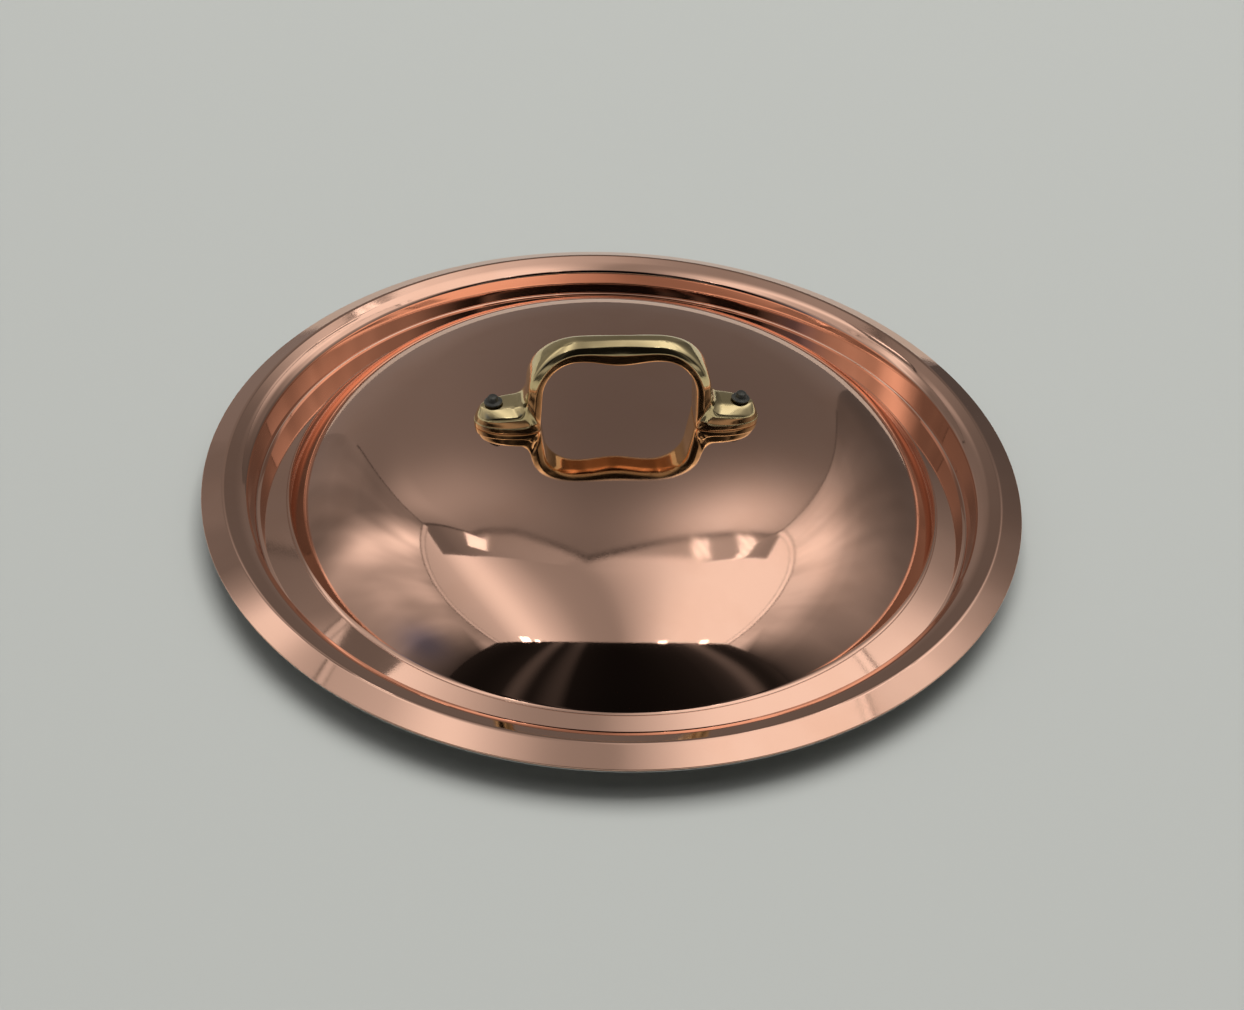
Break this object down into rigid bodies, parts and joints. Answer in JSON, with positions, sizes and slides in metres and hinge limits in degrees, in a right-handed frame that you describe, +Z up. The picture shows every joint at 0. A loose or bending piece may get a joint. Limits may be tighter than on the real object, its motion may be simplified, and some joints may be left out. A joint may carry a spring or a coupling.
{
  "type": "domed pan lid",
  "caption": "Round domed lid of polished copper-faced sheet with a stepped plug rim and a riveted cast brass loop handle, for covering a round pan.",
  "frame": {"origin": "middle of the flat foot that the lid stands on, at the level of the surface it rests on", "axes": "+Z up through the middle of the dome; +X along the handle's bar, through both rivets; +Y completes a right-handed set"},
  "size_m": [0.267, 0.267, 0.0595],
  "materials": {
    "copper": "mirror polished copper",
    "steel": "turned and brushed in rings",
    "cast_brass": "cast and polished",
    "iron": "dark, hammered ends"
  },
  "bodies": {
    "root": {"copper_shell": "copper", "steel_lining": "steel", "handle": "cast_brass", "rivet_left": "iron", "rivet_right": "iron"}
  },
  "joints": []
}
